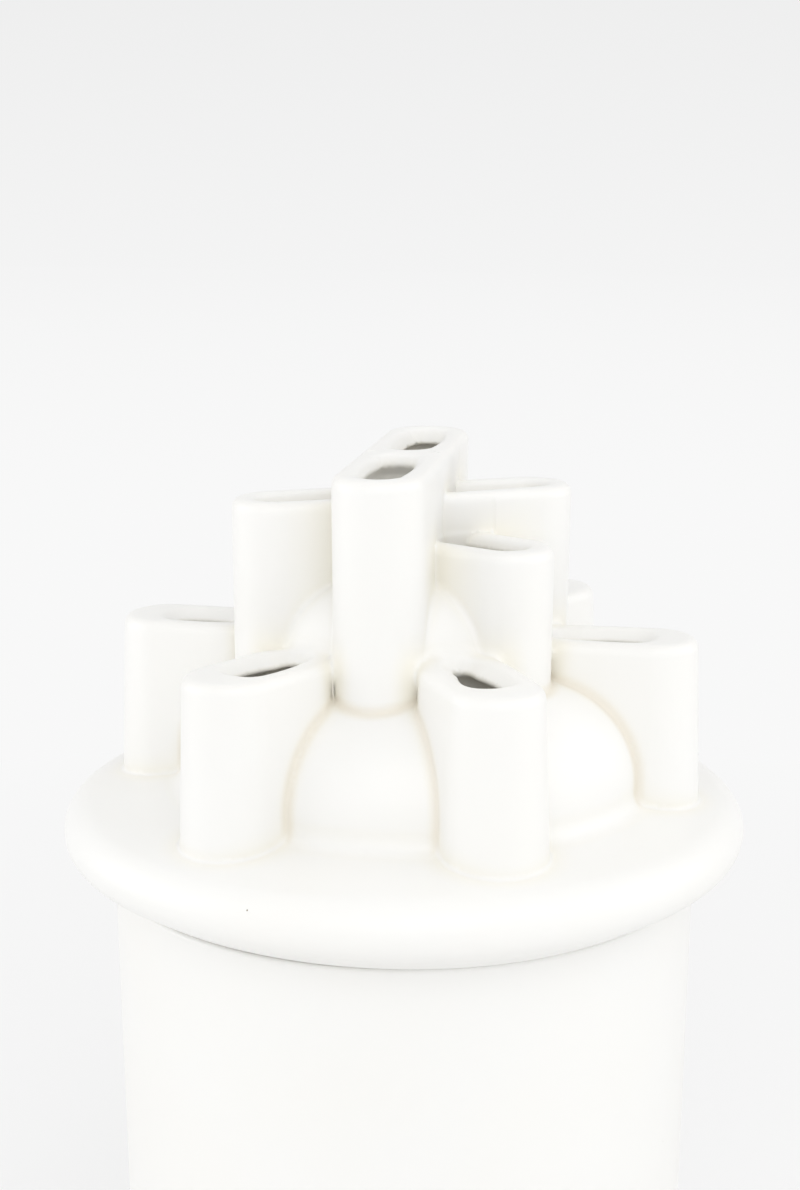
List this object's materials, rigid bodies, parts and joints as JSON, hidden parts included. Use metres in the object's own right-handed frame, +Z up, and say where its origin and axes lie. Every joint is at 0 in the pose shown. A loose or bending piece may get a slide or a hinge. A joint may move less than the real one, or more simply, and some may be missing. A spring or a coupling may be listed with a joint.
{
  "type": "multi-spout flower vase",
  "caption": "White glazed flower vase: a straight round container under a rimmed lift-off cover with two stacked drums and oval stem spouts that step up to the middle.",
  "frame": {"origin": "centre of the underside of the foot, on the vase's axis", "axes": "+Z up along the axis; the tallest pair of spouts lies along Y, with its front spout towards -Y; a low spout points along +X"},
  "size_m": [0.2498, 0.2498, 0.3799],
  "materials": {
    "white_glaze": "soft gloss warm white glaze, thick at the rolled lips and joints",
    "bare_clay": "unglazed pale buff clay, matte"
  },
  "bodies": {
    "container": {"foot_ring": "bare_clay", "container_floor": "white_glaze", "container_wall": "white_glaze"},
    "cover": {"cover_deck": "white_glaze", "locating_flange": "bare_clay", "lower_drum": "white_glaze", "upper_drum": "white_glaze", "lower_spout_1": "white_glaze", "lower_spout_2": "white_glaze", "lower_spout_3": "white_glaze", "lower_spout_4": "white_glaze", "lower_spout_5": "white_glaze", "lower_spout_6": "white_glaze", "tall_spout_tube": "white_glaze", "tall_spout_divider": "white_glaze", "middle_spout_right": "white_glaze", "middle_spout_left": "white_glaze", "low_spout_right": "white_glaze", "low_spout_left": "white_glaze"}
  },
  "joints": [
    {"name": "cover_lift", "type": "slide", "parent": "container", "child": "cover", "axis": [0, 0, 1], "range_m": [0, 0.1]}
  ]
}
